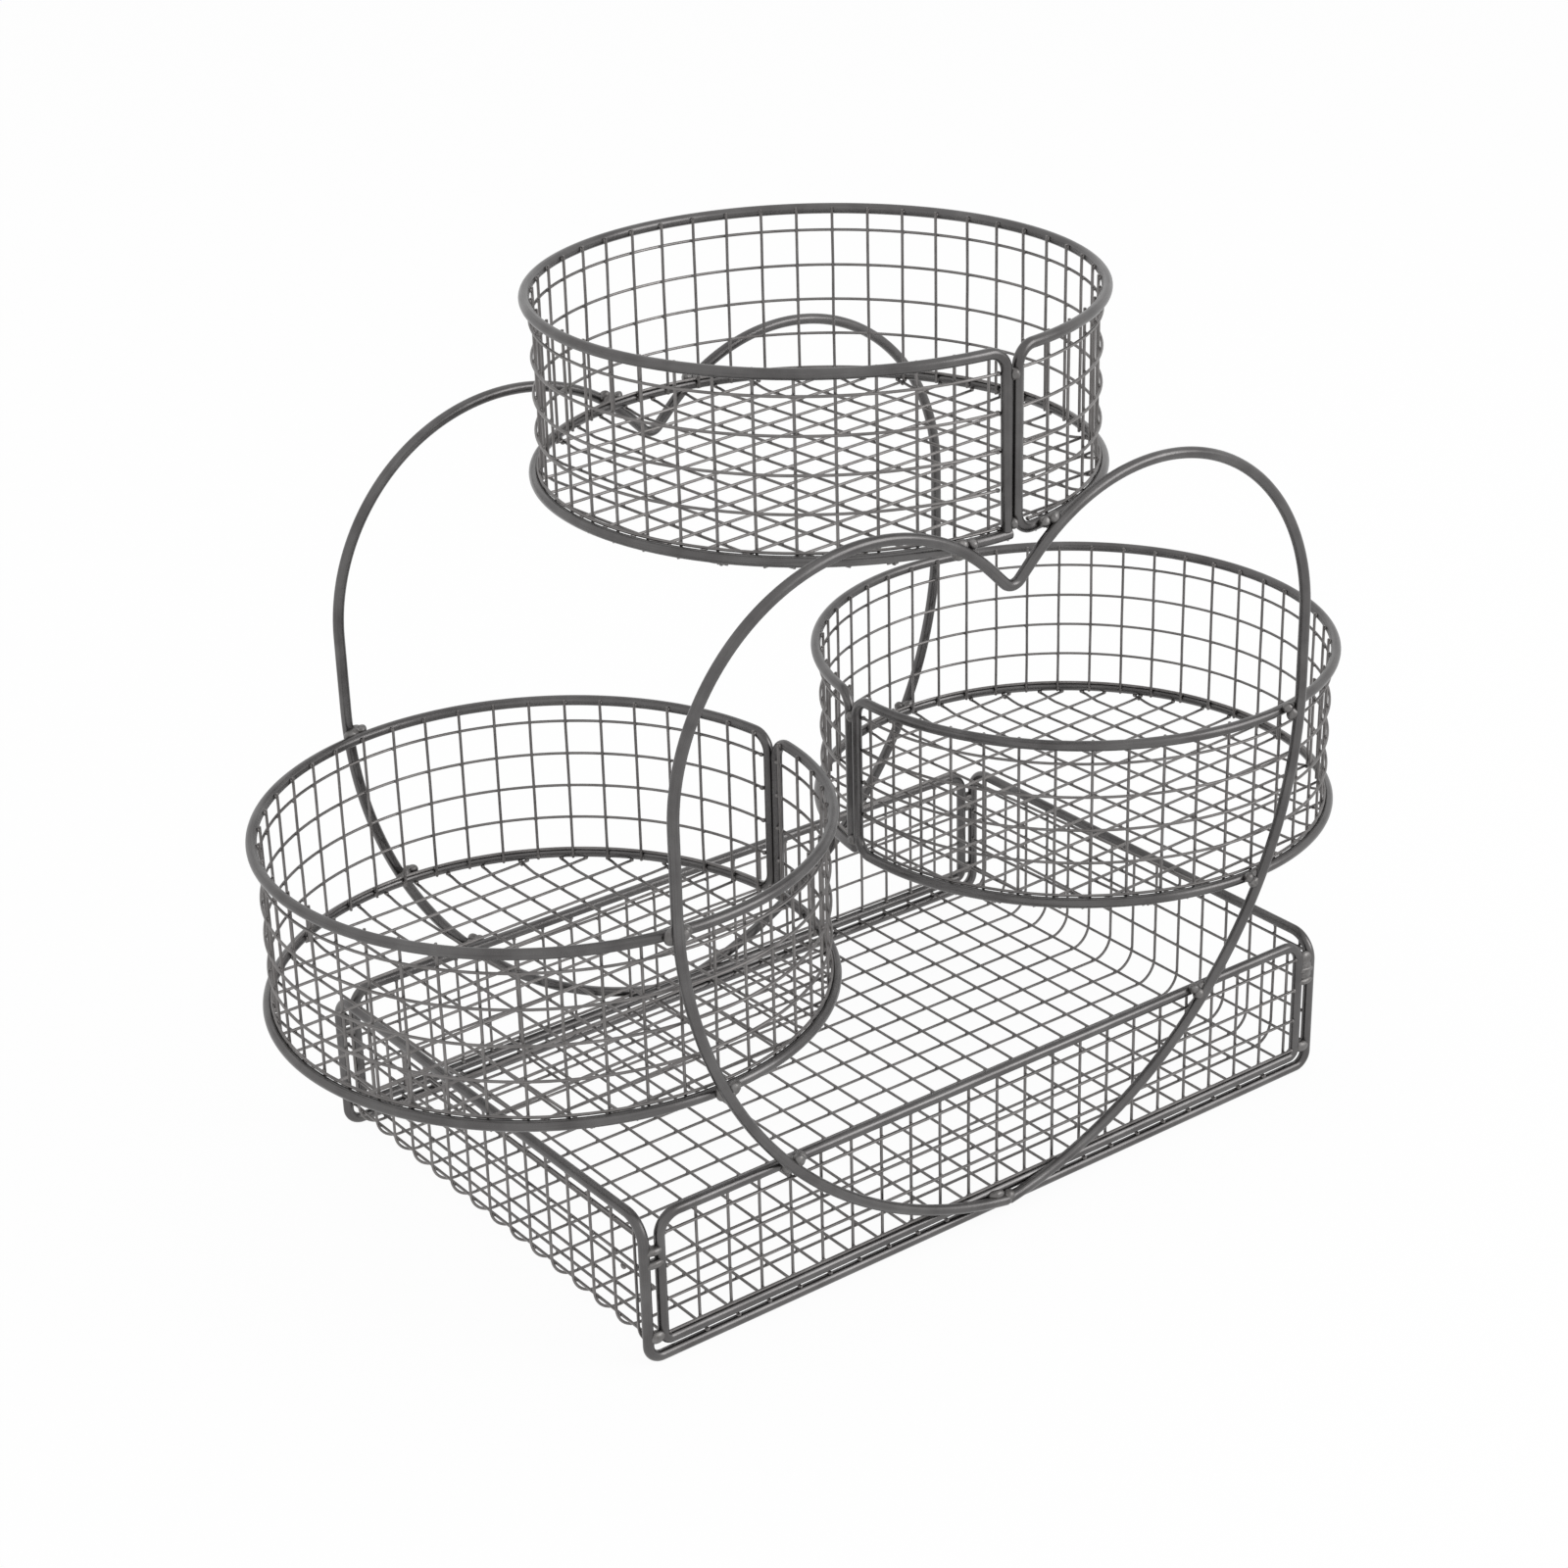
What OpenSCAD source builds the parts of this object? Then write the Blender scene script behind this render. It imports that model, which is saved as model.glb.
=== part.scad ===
// Fruit basket rack: a low rectangular wire tray, two apple-shaped hoops that stand
// against its long sides, and three round wire baskets welded between the hoops.
// X runs along the tray, -Y is the front, +Z is up. The origin is on the table,
// under the middle of the rack. All lengths are in millimetres.

/* [Rod and wire] */
// Diameter of the rod that frames the tray and the baskets
frame_rod_d = 5; // [4:0.1:6]
// Diameter of the rod that the two hoops are bent from
hoop_rod_d = 5.2; // [4:0.1:6.4]
// Diameter of the wire of the square mesh
mesh_wire_d = 1.4; // [1:0.1:2]
// Distance between neighbouring mesh wires
mesh_spacing = 17; // [13:0.5:25]
// Air left where one wire lies on another
joint_gap = 0.05; // [0.02:0.01:0.1]

/* [Tray] */
// Length of the tray between the centre lines of its corner rods
tray_l = 400; // [340:5:460]
// Width of the tray between the centre lines of its corner rods
tray_w = 256; // [220:4:300]
// Height of the tray from the foot rails to its top edge, centre to centre
tray_h = 70; // [55:1:90]
// Bend radius at the tray's four top corners
tray_top_bend_r = 12; // [8:1:18]
// Bend radius at the tray's four feet
tray_foot_bend_r = 7; // [6:0.5:8]
// Distance from a corner rod to the side rod of the long panels
panel_inset = 8.2; // [7.6:0.2:12]
// Height of a panel's bottom rail above the foot rail, centre to centre
panel_lift = 7; // [6.8:0.1:9]
// Bend radius at a panel's two top corners
panel_top_bend_r = 10; // [6:0.5:14]
// Bend radius at a panel's two bottom corners
panel_low_bend_r = 4; // [3.5:0.5:6]
// Drop from a panel's top rail to its first mesh row
panel_first_row = 8.4; // [5:0.2:12]
// Shift of a panel's upright wires from the middle of the panel
panel_wire_shift = -2; // [-6:1:6]
// Radius at which the bed's long wires turn up into the end walls
bed_bend_r = 12; // [9:1:20]
// Shift of the bed's cross wires from the middle of the tray
bed_cross_shift = 1; // [-6:1:6]
// Shift of the bed's long wires from the middle of the tray
bed_long_shift = -2; // [-6:1:6]

/* [Hoops] */
// Half of a hoop's widest reach, at its centre line
hoop_half_w = 179; // [165:1:195]
// Height of a hoop's lowest point above the table, at its centre line
hoop_bottom_z = 5.5; // [4:0.5:7]
// Radius of the long curves under a hoop's sides
hoop_low_r = 213; // [200:1:240]
// Length of the straight stretch up each side of a hoop
hoop_side_l = 36; // [10:1:60]
// Radius of the two humps at the top of a hoop
hump_r = 98; // [92:1:104]
// Bend radius at the bottom of the notch between the humps
notch_r = 6; // [5:0.5:8]
// Slope of the notch's flanks
notch_angle = 45; // [40:1:50]

/* [Baskets] */
// Height of a basket from its bottom ring to its rim, centre to centre
basket_h = 81; // [65:1:100]
// Bend radius where the rim and the ring turn into the seam rods
basket_bend_r = 9; // [7:0.5:12]
// Distance between the two upright rods of a basket's seam
seam_spacing = 6.2; // [5.6:0.2:8]
// Drop from the rim to the first mesh row
basket_first_row = 10; // [6:0.5:14]
// Distance of the two side baskets from the middle of the rack
side_basket_x = 157; // [140:1:170]
// Height of the side baskets' bottom rings above the table
side_ring_z = 121.5; // [105:0.5:140]
// Height of the top basket's bottom ring above the bottom of the notch
top_ring_lift = 21; // [15:0.5:24]
// Turn of the top basket's seam about its own axis
top_seam_angle = -88.5; // [-180:0.5:180]
// Turn of the left basket's seam about its own axis
left_seam_angle = 1; // [-180:0.5:180]
// Turn of the right basket's seam about its own axis
right_seam_angle = 173; // [-180:0.5:180]
// Turn of the top basket's floor mesh
top_floor_turn = 5; // [-45:1:45]
// Turn of the left basket's floor mesh
left_floor_turn = 2; // [-45:1:45]
// Turn of the right basket's floor mesh
right_floor_turn = 3; // [-45:1:45]

/* [Welds] */
// Air left round a rod that a bead encloses
bead_gap = 0.15; // [0.1:0.01:0.3]
// Radius of the beads between the hoops and what they carry
hoop_bead_r = 3.4; // [2.8:0.1:4]
// Radius of the beads between rods of the tray or of a basket
rod_bead_r = 2.4; // [2:0.1:3]
// Height of the pair of beads at each corner above the foot rails
corner_bead_z = 51.5; // [35:0.5:56]
// Distance between the two beads of that pair
corner_bead_spacing = 6.4; // [6.2:0.2:9]
// Drop from a basket's rim to its upper seam bead
seam_bead_drop = 10.5; // [8:0.5:20]
// Rise from a basket's ring to its lower seam bead
seam_bead_rise = 5; // [3:0.5:10]

/* [Hidden] */

rod_colour = [0.27, 0.26, 0.26];
wire_colour = [0.33, 0.32, 0.32];
bead_colour = [0.38, 0.37, 0.37];
// How far mesh ends reach past a rod's centre line, as a share of the rod's radius
wire_reach_share = 0.6;
// How far a seam rod is sunk into the ring it stands on, as a share of the same
seam_foot_share = 0.4;
// Least distance of a floor wire from the ring's edge, as a share of the mesh spacing
short_chord_share = 0.25;
// How far a bead stands off to one side of the rods it joins, as a share of their radius
bead_offset_share = 0.6;
// Facets of a rod's round section, and of a sweep about a centre
section_fn = 32;
sweep_fn = 144;
bead_fn = 32;

frame_rod_r = frame_rod_d / 2;
hoop_rod_r = hoop_rod_d / 2;
mesh_wire_r = mesh_wire_d / 2;
// Distance between the centre lines of two crossed mesh wires
mesh_step = mesh_wire_d + joint_gap;
// Distance between the centre lines of a frame rod and a mesh wire that lies on it
mesh_seat = frame_rod_r + mesh_wire_r + joint_gap;
// How far the ends of seated mesh wires reach past a rod's centre line
wire_reach = frame_rod_r * wire_reach_share;

// Tray: heights of its centre lines above the table
foot_z = frame_rod_r;
tray_top_z = foot_z + tray_h;
panel_low_z = foot_z + panel_lift;
foot_half = tray_l / 2 - tray_foot_bend_r;
panel_half_l = tray_l / 2 - panel_inset;
bed_cross_z = foot_z + mesh_seat;
bed_long_z = bed_cross_z - mesh_step;
bed_flat_half = tray_l / 2 - bed_bend_r;
bed_bend_len = bed_bend_r * PI / 2;
bed_wall_len = tray_top_z - bed_long_z - bed_bend_r - frame_rod_r;

// Hoops: the plane they stand in and the centres of their arcs
hoop_y = tray_w / 2 + frame_rod_r + hoop_rod_r + joint_gap;
low_centre_x = hoop_half_w - hoop_low_r;
low_centre_z = hoop_bottom_z + sqrt(pow(hoop_low_r, 2) - pow(low_centre_x, 2));
// Angle of the hoop's two ends, measured at the low arc's centre, so that they just
// miss each other in the middle
low_end_angle = acos((joint_gap - low_centre_x) / (hoop_low_r - hoop_rod_r));
hump_centre_x = hoop_half_w - hump_r;
hump_centre_z = low_centre_z + hoop_side_l;
// The flank runs from the hump down to the notch's own small bend
flank_top_x = hump_centre_x - hump_r * sin(notch_angle);
flank_top_z = hump_centre_z + hump_r * cos(notch_angle);
flank_low_x = notch_r * sin(notch_angle);
flank_low_z = flank_top_z - (flank_top_x - flank_low_x) * tan(notch_angle);
flank_l = (flank_top_x - flank_low_x) / cos(notch_angle);
notch_centre_z = flank_low_z + notch_r * cos(notch_angle);
notch_z = notch_centre_z - notch_r;

// Baskets: the rims just fill the space between the two hoops
basket_r = hoop_y - hoop_rod_r - frame_rod_r - joint_gap;
top_ring_z = notch_z + top_ring_lift;
wall_upright_r = basket_r - mesh_seat;
wall_hoop_r = wall_upright_r + mesh_step;
floor_long_drop = mesh_seat;
floor_cross_drop = mesh_seat + mesh_step;
floor_reach_r = basket_r + wire_reach;
// Angle from the seam to the point where a bend meets the rim or the ring
bend_angle = asin(seam_spacing / 2 / norm([basket_r, basket_bend_r]))
    + atan(basket_bend_r / basket_r);
seam_rod_r = norm([basket_r, basket_bend_r]) * cos(bend_angle - atan(basket_bend_r / basket_r));
row_end_angle = asin((seam_spacing / 2 + frame_rod_r + joint_gap) / wall_hoop_r);
low_row_end_angle = asin((seam_spacing / 2 + basket_bend_r) / wall_hoop_r);
// Least distance in height between a mesh row and a rim or ring
row_clear = sqrt(pow(mesh_seat, 2) - pow(basket_r - wall_hoop_r, 2));
row_count = floor((basket_h - row_clear - basket_first_row) / mesh_spacing) + 1;
upright_angle = mesh_spacing / wall_upright_r * 180 / PI;
strip_edge_angle = asin((seam_spacing / 2 + frame_rod_r + mesh_wire_d) / wall_upright_r);
upright_count = floor((360 - 2 * strip_edge_angle) / upright_angle) + 1;

// Length of what is cut out of a bead, and the place on the hump of the top ring's bead
cut_l = 4 * hoop_bead_r;
top_bead_angle = 180 - asin((top_ring_z - hump_centre_z) / hump_r);

// Each basket: distance from the middle, height of its ring, seam angle, floor turn
top_basket = [0, top_ring_z, top_seam_angle, top_floor_turn];
left_basket = [-side_basket_x, side_ring_z, left_seam_angle, left_floor_turn];
right_basket = [side_basket_x, side_ring_z, right_seam_angle, right_floor_turn];

// Places of mesh wires within half a width, evenly spaced, moved aside by a shift
function wire_places(half, shift) =
    [for (k = [ceil((-half - shift) / mesh_spacing) : floor((half - shift) / mesh_spacing)])
        k * mesh_spacing + shift];

// Height of the underside of a rod that bends down at the ends of a straight stretch
function under_bend(place, straight_half, top_z, bend_r) =
    let (past = max(0, abs(place) + mesh_wire_r - straight_half))
    top_z - bend_r + sqrt(pow(bend_r - frame_rod_r - joint_gap, 2) - pow(past, 2));

// Centre of a cross wire at a distance along the bed: across the floor, round the
// bend and up the wall
function bed_place(s) =
    let (past = abs(s) - bed_flat_half, turn = past / bed_bend_r * 180 / PI)
    past <= 0 ? [s, bed_cross_z]
    : past < bed_bend_len
        ? [sign(s) * (bed_flat_half + (bed_bend_r - mesh_step) * sin(turn)),
            bed_long_z + bed_bend_r - (bed_bend_r - mesh_step) * cos(turn)]
        : [sign(s) * (tray_l / 2 - mesh_step), bed_long_z + bed_bend_r + past - bed_bend_len];

// Angle of a height on a hoop's low arc, and the distance of that point from the middle
function low_arc_angle(z) = -asin((low_centre_z - z) / hoop_low_r);
function hoop_x_low(z) = low_centre_x + hoop_low_r * cos(low_arc_angle(z));
// Distance in Y of a basket's rim or ring at a distance in X from the basket's middle
function ring_y(away) = sqrt(pow(basket_r, 2) - pow(away, 2));

// Straight rod between two points
module rod(from, to, d) {
    run = to - from;
    l = norm(run);
    translate(from)
        rotate([0, acos(run[2] / l), atan2(run[1], run[0])])
            cylinder(h = l, d = d, $fn = section_fn);
}

// Rod bent about the Z axis from one angle to another
module flat_arc(r, from, to, d) {
    rotate([0, 0, from])
        rotate_extrude(angle = to - from, $fn = sweep_fn)
            translate([r, 0])
                circle(d = d, $fn = section_fn);
}

// The same bend standing in the XZ plane, with angles measured from +X towards +Z
module upright_arc(centre, r, from, to, d) {
    translate(centre)
        rotate([90, 0, 0])
            flat_arc(r, from, to, d);
}

// Children and their mirror image across the plane X = 0
module both_ends() {
    children();
    mirror([1, 0, 0])
        children();
}

// Children and their mirror image across the plane Y = 0
module both_sides() {
    children();
    mirror([0, 1, 0])
        children();
}

// Closed loop of rod: over both end walls and along both feet
module tray_end_frame() {
    top_half = tray_w / 2 - tray_top_bend_r;
    color(rod_colour)
        both_sides()
            both_ends() {
                rod([tray_l / 2, 0, tray_top_z], [tray_l / 2, top_half, tray_top_z], frame_rod_d);
                translate([tray_l / 2, top_half, tray_top_z - tray_top_bend_r])
                    rotate([0, 0, 90])
                        upright_arc([0, 0, 0], tray_top_bend_r, 0, 90, frame_rod_d);
                rod([tray_l / 2, tray_w / 2, foot_z + tray_foot_bend_r],
                    [tray_l / 2, tray_w / 2, tray_top_z - tray_top_bend_r], frame_rod_d);
                upright_arc([foot_half, tray_w / 2, foot_z + tray_foot_bend_r],
                    tray_foot_bend_r, -90, 0, frame_rod_d);
                rod([0, tray_w / 2, foot_z], [foot_half, tray_w / 2, foot_z], frame_rod_d);
            }
}

// Closed rounded frame of one long side
module panel_frame(y) {
    top_half = panel_half_l - panel_top_bend_r;
    low_half = panel_half_l - panel_low_bend_r;
    both_ends() {
        rod([0, y, tray_top_z], [top_half, y, tray_top_z], frame_rod_d);
        upright_arc([top_half, y, tray_top_z - panel_top_bend_r],
            panel_top_bend_r, 0, 90, frame_rod_d);
        rod([panel_half_l, y, panel_low_z + panel_low_bend_r],
            [panel_half_l, y, tray_top_z - panel_top_bend_r], frame_rod_d);
        upright_arc([low_half, y, panel_low_z + panel_low_bend_r],
            panel_low_bend_r, -90, 0, frame_rod_d);
        rod([0, y, panel_low_z], [low_half, y, panel_low_z], frame_rod_d);
    }
}

// Upright wires of one panel, on the inner side of its rows
module panel_uprights(side) {
    y = side * (tray_w / 2 - mesh_step / 2);
    low = panel_low_z + frame_rod_r + joint_gap;
    for (x = wire_places(panel_half_l - mesh_seat, panel_wire_shift * -side))
        rod([x, y, low],
            [x, y, under_bend(x, panel_half_l - panel_top_bend_r, tray_top_z, panel_top_bend_r)],
            mesh_wire_d);
}

// Mesh rows of one panel, counted down from its top rail
module panel_rows(side) {
    y = side * (tray_w / 2 + mesh_step / 2);
    half = panel_half_l - frame_rod_r - joint_gap;
    lowest = panel_low_z + mesh_seat;
    for (z = [tray_top_z - panel_first_row : -mesh_spacing : lowest])
        rod([-half, y, z], [half, y, z], mesh_wire_d);
}

module tray_front_panel_frame() {
    color(rod_colour)
        panel_frame(-tray_w / 2);
}

module tray_back_panel_frame() {
    color(rod_colour)
        panel_frame(tray_w / 2);
}

module tray_front_panel_uprights() {
    color(wire_colour)
        panel_uprights(-1);
}

module tray_back_panel_uprights() {
    color(wire_colour)
        panel_uprights(1);
}

module tray_front_panel_rows() {
    color(wire_colour)
        panel_rows(-1);
}

module tray_back_panel_rows() {
    color(wire_colour)
        panel_rows(1);
}

// Wires that run along the floor and turn up both end walls to butt under the top edge
module tray_bed_long_wires() {
    top_half = tray_w / 2 - tray_top_bend_r;
    color(wire_colour)
        for (y = wire_places(tray_w / 2 - mesh_seat, bed_long_shift))
            both_ends() {
                rod([0, y, bed_long_z], [bed_flat_half, y, bed_long_z], mesh_wire_d);
                upright_arc([bed_flat_half, y, bed_long_z + bed_bend_r],
                    bed_bend_r, -90, 0, mesh_wire_d);
                rod([tray_l / 2, y, bed_long_z + bed_bend_r],
                    [tray_l / 2, y, under_bend(y, top_half, tray_top_z, tray_top_bend_r)],
                    mesh_wire_d);
            }
}

// Wires across the bed: on the floor they lie over both foot rails, and in the bends
// and the end walls they stop at the frames
module tray_bed_cross_wires() {
    wall_end = bed_flat_half + bed_bend_len + bed_wall_len - mesh_wire_d;
    color(wire_colour)
        for (s = wire_places(wall_end, bed_cross_shift)) {
            place = bed_place(s);
            half = abs(s) < bed_flat_half - frame_rod_r
                ? tray_w / 2 + wire_reach
                : tray_w / 2 - frame_rod_r - joint_gap;
            rod([place[0], -half, place[1]], [place[0], half, place[1]], mesh_wire_d);
        }
}

// Bead that fills the corner between two rods, which are given as children and are
// cut out one after the other
module bead(p, r) {
    difference() {
        difference() {
            translate(p)
                rotate([90, 0, 0])
                    sphere(r = r, $fn = bead_fn);
            children(0);
        }
        children(1);
    }
}

// Space that a rod takes out of a bead
module rod_cut(from, to, d) {
    rod(from, to, d + 2 * bead_gap);
}

// Short bar of weld between two upright rods that stand a panel's inset apart
module corner_bead() {
    difference() {
        difference() {
            rotate([90, 90, 0])
                cylinder(h = 2 * rod_bead_r, r = rod_bead_r, center = true, $fn = bead_fn);
            rod_cut([panel_inset / 2, 0, -cut_l], [panel_inset / 2, 0, cut_l], frame_rod_d);
        }
        rod_cut([-panel_inset / 2, 0, -cut_l], [-panel_inset / 2, 0, cut_l], frame_rod_d);
    }
}

// Beads that tie the long panels to the corner rods: a pair high up at each corner, and
// one where the panel's bottom bend begins
module tray_corner_welds() {
    mid_x = tray_l / 2 - panel_inset / 2;
    pair_z = foot_z + corner_bead_z;
    half_gap = corner_bead_spacing / 2;
    heights = [panel_low_z + panel_low_bend_r, pair_z - half_gap, pair_z + half_gap];
    color(bead_colour)
        for (x = [-mid_x, mid_x], y = [-tray_w / 2, tray_w / 2], z = heights)
            translate([x, y, z])
                corner_bead();
}

// One half of a hoop from the notch's end on, in a frame that stands at the notch's
// centre and is turned along the flank
module hoop_half() {
    translate([0, 0, -notch_r])
        rotate([0, 90, 0])
            cylinder(h = flank_l, d = hoop_rod_d, $fn = section_fn);
    translate([flank_l, 0, -notch_r - hump_r]) {
        upright_arc([0, 0, 0], hump_r, 90, -notch_angle, hoop_rod_d);
        rotate([0, notch_angle, 0])
            translate([hump_r, 0, -hoop_side_l]) {
                cylinder(h = hoop_side_l, d = hoop_rod_d, $fn = section_fn);
                upright_arc([-hoop_low_r, 0, 0], hoop_low_r, 0, -low_end_angle, hoop_rod_d);
            }
    }
}

// One apple-shaped hoop, bent from one rod whose two ends meet at the bottom
module hoop(y) {
    translate([0, y, notch_centre_z]) {
        upright_arc([0, 0, 0], notch_r, -90 - notch_angle, -90 + notch_angle, hoop_rod_d);
        both_ends()
            rotate([0, -notch_angle, 0])
                hoop_half();
    }
}

module front_hoop() {
    color(rod_colour)
        hoop(-hoop_y);
}

module back_hoop() {
    color(rod_colour)
        hoop(hoop_y);
}

// Space that a hoop takes out of a small bead: a straight rod along the tangent of one
// of its arcs, at an angle of that arc
module hoop_cut(centre, r, angle) {
    translate(centre)
        rotate([0, -angle, 0])
            translate([r, 0, 0])
                cylinder(h = cut_l, d = hoop_rod_d + 2 * bead_gap, center = true,
                    $fn = section_fn);
}

// The same for the long low arc of the back hoop, at a height
module low_arc_cut(z) {
    hoop_cut([low_centre_x, hoop_y, low_centre_z], hoop_low_r, low_arc_angle(z));
}

// Space that a basket's rim or ring takes out of a bead at a distance in X from the
// basket's middle
module ring_cut(x, z, away) {
    translate([x, 0, z])
        rotate([90, 0, acos(away / basket_r)])
            translate([basket_r, 0, 0])
                cylinder(h = cut_l, d = frame_rod_d + 2 * bead_gap, center = true,
                    $fn = section_fn);
}

// Block of weld behind the meeting ends of the back hoop, at the tray's two lowest
// rails. It stops short of the mesh wires that lie between them
module foot_block() {
    difference() {
        difference() {
            difference() {
                difference() {
                    translate([0, hoop_y, hoop_bottom_z])
                        rotate([90, 0, 0])
                            cylinder(h = hoop_y - tray_w / 2 - wire_reach - bead_gap,
                                r = rod_bead_r, $fn = bead_fn);
                    hoop_cut([low_centre_x, hoop_y, low_centre_z], hoop_low_r,
                        -low_end_angle);
                }
                hoop_cut([-low_centre_x, hoop_y, low_centre_z], hoop_low_r,
                    low_end_angle - 180);
            }
            rod_cut([-cut_l, tray_w / 2, foot_z], [cut_l, tray_w / 2, foot_z], frame_rod_d);
        }
        rod_cut([-cut_l, tray_w / 2, panel_low_z], [cut_l, tray_w / 2, panel_low_z],
            frame_rod_d);
    }
}

// Bead round the place where the back hoop crosses a rod, halfway between the two
// centre lines. The rod and the hoop are given as children
module hoop_bead(x, rod_y, z) {
    bead([x, (hoop_y + rod_y) / 2, z], hoop_bead_r) {
        children(0);
        children(1);
    }
}

// Beads of the back hoop: to the tray's foot rail and top rail, to the rims and rings
// of the side baskets and to the ring of the top basket
module hoop_beads() {
    rim_z = side_ring_z + basket_h;
    rim_away = hoop_x_low(rim_z) - side_basket_x;
    ring_away = hoop_x_low(side_ring_z) - side_basket_x;
    top_away = hump_centre_x + hump_r * cos(top_bead_angle);
    foot_block();
    both_ends() {
        hoop_bead(hoop_x_low(tray_top_z), tray_w / 2, tray_top_z) {
            low_arc_cut(tray_top_z);
            rod_cut([0, tray_w / 2, tray_top_z], [panel_half_l, tray_w / 2, tray_top_z],
                frame_rod_d);
        }
        hoop_bead(side_basket_x + rim_away, ring_y(rim_away), rim_z) {
            low_arc_cut(rim_z);
            ring_cut(side_basket_x, rim_z, rim_away);
        }
        hoop_bead(side_basket_x + ring_away, ring_y(ring_away), side_ring_z) {
            low_arc_cut(side_ring_z);
            ring_cut(side_basket_x, side_ring_z, ring_away);
        }
        hoop_bead(top_away, ring_y(top_away), top_ring_z) {
            hoop_cut([hump_centre_x, hoop_y, hump_centre_z], hump_r, top_bead_angle);
            ring_cut(0, top_ring_z, top_away);
        }
    }
}

module front_hoop_welds() {
    color(bead_colour)
        mirror([0, 1, 0])
            hoop_beads();
}

module back_hoop_welds() {
    color(bead_colour)
        hoop_beads();
}

// Children placed in a basket's own frame: ring at the origin, seam towards +X
module at_basket(basket) {
    translate([basket[0], 0, basket[1]])
        rotate([0, 0, basket[2]])
            children();
}

// Bend that starts at a height under the point where it leaves the rim or ring, and
// runs towards the seam between two angles of its upright circle
module seam_bend(z, from, to) {
    translate([basket_r, 0, z])
        rotate([0, 0, 90])
            upright_arc([0, 0, 0], basket_bend_r, from, to, frame_rod_d);
}

// Half of a rim, its bend and the seam rod under it, from a lowest height. The frame
// is turned so that the bend leaves the rim at zero
module rim_half(lowest) {
    translate([0, 0, basket_h])
        flat_arc(basket_r, 0, 180, frame_rod_d);
    seam_bend(basket_h - basket_bend_r, 90, 180);
    translate([basket_r, -basket_bend_r, lowest])
        cylinder(h = basket_h - basket_bend_r - lowest, d = frame_rod_d, $fn = section_fn);
}

// A basket's frame, bent from one rod: its cut end lies by the first seam rod, the
// ring runs round and turns up into the second, and the rim comes back to the first
module basket_frame(basket) {
    color(rod_colour)
        at_basket(basket) {
            rotate([0, 0, bend_angle]) {
                flat_arc(basket_r, 0, 360 - bend_angle, frame_rod_d);
                seam_bend(basket_bend_r, 180, 270);
                rim_half(basket_bend_r);
            }
            mirror([0, 1, 0])
                rotate([0, 0, bend_angle])
                    rim_half(frame_rod_r * (1 - seam_foot_share));
        }
}

// Upright wires round the inside of a basket, from its ring to the top of its rim
module basket_uprights(basket) {
    first = 180 - (upright_count - 1) * upright_angle / 2;
    color(wire_colour)
        at_basket(basket)
            for (k = [0 : upright_count - 1])
                rotate([0, 0, first + k * upright_angle])
                    translate([wall_upright_r, 0, -wire_reach])
                        cylinder(h = basket_h + 2 * wire_reach, d = mesh_wire_d,
                            $fn = section_fn);
}

// Level wires round the outside of the uprights, counted down from the rim. The
// lowest stop short of the ring's bend
module basket_hoops(basket) {
    color(wire_colour)
        at_basket(basket)
            for (k = [0 : row_count - 1]) {
                z = basket_h - basket_first_row - k * mesh_spacing;
                start = z < basket_bend_r + mesh_seat ? low_row_end_angle : row_end_angle;
                translate([0, 0, z])
                    flat_arc(wall_hoop_r, start, 360 - row_end_angle, mesh_wire_d);
            }
}

// Parallel floor wires under a basket's ring, each cut to its chord
module basket_floor_wires(basket, turn, drop) {
    color(wire_colour)
        translate([basket[0], 0, basket[1] - drop])
            rotate([0, 0, basket[3] + turn])
                for (y = wire_places(floor_reach_r - mesh_spacing * short_chord_share, mesh_spacing / 2)) {
                    half = sqrt(pow(floor_reach_r, 2) - pow(y, 2));
                    rod([-half, y, 0], [half, y, 0], mesh_wire_d);
                }
}

// Two beads between the seam rods
module basket_seam_welds(basket) {
    color(bead_colour)
        at_basket(basket)
            for (z = [basket_h - seam_bead_drop, seam_bead_rise])
                bead([seam_rod_r + frame_rod_r * bead_offset_share, 0, z], rod_bead_r) {
                    rod_cut([seam_rod_r, -seam_spacing / 2, 0],
                        [seam_rod_r, -seam_spacing / 2, basket_h], frame_rod_d);
                    rod_cut([seam_rod_r, seam_spacing / 2, 0],
                        [seam_rod_r, seam_spacing / 2, basket_h], frame_rod_d);
                }
}

module top_basket_frame() { basket_frame(top_basket); }
module top_basket_wall_uprights() { basket_uprights(top_basket); }
module top_basket_wall_hoops() { basket_hoops(top_basket); }
module top_basket_floor_long_wires() { basket_floor_wires(top_basket, 0, floor_long_drop); }
module top_basket_floor_cross_wires() { basket_floor_wires(top_basket, 90, floor_cross_drop); }
module top_basket_seam_welds() { basket_seam_welds(top_basket); }

module left_basket_frame() { basket_frame(left_basket); }
module left_basket_wall_uprights() { basket_uprights(left_basket); }
module left_basket_wall_hoops() { basket_hoops(left_basket); }
module left_basket_floor_long_wires() { basket_floor_wires(left_basket, 0, floor_long_drop); }
module left_basket_floor_cross_wires() { basket_floor_wires(left_basket, 90, floor_cross_drop); }
module left_basket_seam_welds() { basket_seam_welds(left_basket); }

module right_basket_frame() { basket_frame(right_basket); }
module right_basket_wall_uprights() { basket_uprights(right_basket); }
module right_basket_wall_hoops() { basket_hoops(right_basket); }
module right_basket_floor_long_wires() { basket_floor_wires(right_basket, 0, floor_long_drop); }
module right_basket_floor_cross_wires() { basket_floor_wires(right_basket, 90, floor_cross_drop); }
module right_basket_seam_welds() { basket_seam_welds(right_basket); }

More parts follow.
